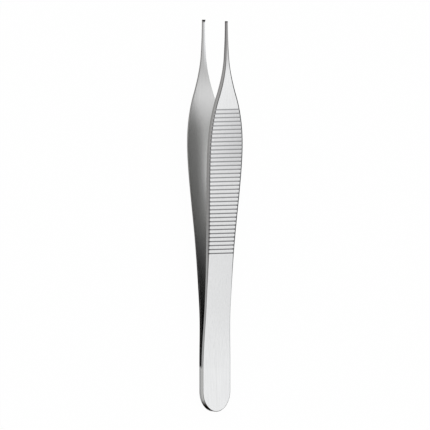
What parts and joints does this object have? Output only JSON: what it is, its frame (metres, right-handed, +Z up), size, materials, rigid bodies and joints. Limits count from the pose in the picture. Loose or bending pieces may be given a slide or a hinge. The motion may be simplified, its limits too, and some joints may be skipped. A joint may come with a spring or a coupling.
{
  "type": "thumb forceps",
  "caption": "Slim steel thumb forceps: two spring blades welded at a round butt, with cross-grooved thumb grips that taper to fine toothed tips, lying open on one blade.",
  "frame": {"origin": "centre of the bounding box in X and Y, on the surface that the forceps lies on", "axes": "+Y along the blades towards the tips, +X across the width of the blades, +Z up; the lower blade's outer face rests on the surface, so the plane between the blades leans 4.5 degrees up towards the tips"},
  "size_m": [0.012, 0.1204, 0.0187],
  "materials": {
    "satin_steel": "satin-ground stainless steel with bright bevels and a fine lengthwise grain"
  },
  "bodies": {
    "root": {"upper_blade": "satin_steel", "lower_blade": "satin_steel"}
  },
  "joints": []
}
